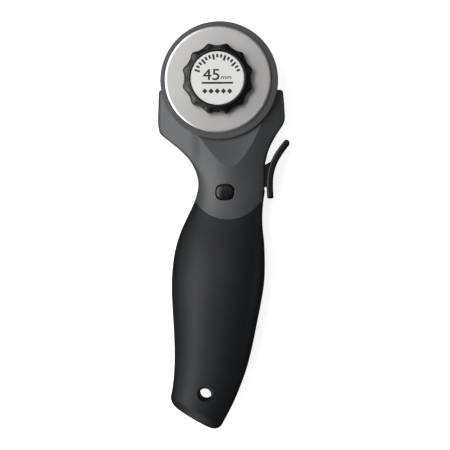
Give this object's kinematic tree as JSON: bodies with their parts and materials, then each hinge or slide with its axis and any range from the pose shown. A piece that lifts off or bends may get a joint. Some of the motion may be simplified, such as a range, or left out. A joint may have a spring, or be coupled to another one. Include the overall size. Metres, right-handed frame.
{
  "type": "rotary cutter",
  "caption": "Hand-held round-blade fabric cutter with a trigger-worked sliding guard, lock button, clamping knob, soft grip and hang hole.",
  "frame": {"origin": "on the blade's axis, at the back face of the axle bolt's head, which is on the plane that the cutter lies on", "axes": "+Y from the handle to the blade end, +Z out of the front face along the blade's axis, +X to the trigger's side as seen from the front"},
  "size_m": [0.0563, 0.1737, 0.025],
  "materials": {
    "grey_shell": "satin moulded grey plastic",
    "guard_plastic": "satin moulded dark grey plastic",
    "soft_grip": "matt soft-touch elastomer",
    "black_plastic": "satin black plastic",
    "blade_steel": "fine ground tool steel with a polished cutting bevel",
    "zinc_steel": "zinc-plated steel",
    "brass": "turned brass",
    "label_plate": "silver-white printed disc"
  },
  "bodies": {
    "housing": {"front_housing": "grey_shell", "rear_housing": "grey_shell", "front_grip": "soft_grip", "rear_grip": "soft_grip", "axle_bolt": "zinc_steel", "blade_bush": "brass", "friction_washer": "zinc_steel", "trigger_pivot_pin": "zinc_steel", "housing_screw_1": "zinc_steel", "housing_screw_2": "zinc_steel", "housing_screw_3": "zinc_steel", "housing_screw_4": "zinc_steel", "return_spring": "zinc_steel", "lock_detent_spring": "zinc_steel"},
    "guard": {"guard": "guard_plastic", "guard_slider": "zinc_steel", "guard_drive_pin": "zinc_steel", "guard_screw": "zinc_steel"},
    "blade": {"blade": "blade_steel"},
    "knob_insert": {"knob_insert": "brass"},
    "knob": {"knob": "black_plastic", "knob_label": "label_plate"},
    "trigger": {"trigger": "black_plastic"},
    "lock": {"lock_button": "black_plastic"}
  },
  "joints": [
    {"name": "blade_spin", "type": "hinge", "parent": "housing", "child": "blade", "pos_m": [0, 0, 0.01815], "axis": [0, 0, 1], "continuous": true},
    {"name": "trigger_squeeze", "type": "hinge", "parent": "housing", "child": "trigger", "pos_m": [0.016, -0.0425, 0.0086], "axis": [0, 0, 1], "range_deg": [0, 9.2], "stiffness_Nm_per_rad": 0.1, "springref_deg": -22.92},
    {"name": "guard_slide", "type": "slide", "parent": "housing", "child": "guard", "axis": [0.124, -0.9923, 0], "range_m": [0, 0.0036], "deforming": ["return_spring"]},
    {"name": "lock_push", "type": "slide", "parent": "housing", "child": "lock", "axis": [0, 0, 1], "range_m": [-0.002, 0]},
    {"name": "knob_lift", "type": "slide", "parent": "housing", "child": "knob_insert", "axis": [0, 0, 1], "range_m": [0, 0.0031]},
    {"name": "knob_turn", "type": "hinge", "parent": "knob_insert", "child": "knob", "pos_m": [0, 0, 0.022], "axis": [0, 0, 1], "range_deg": [0, 1350]}
  ],
  "couplings": [
    {"joint": "guard_slide", "follows": "trigger_squeeze", "m_per_rad": 0.0224},
    {"joint": "knob_lift", "follows": "knob_turn", "m_per_rad": 0.00012732}
  ]
}
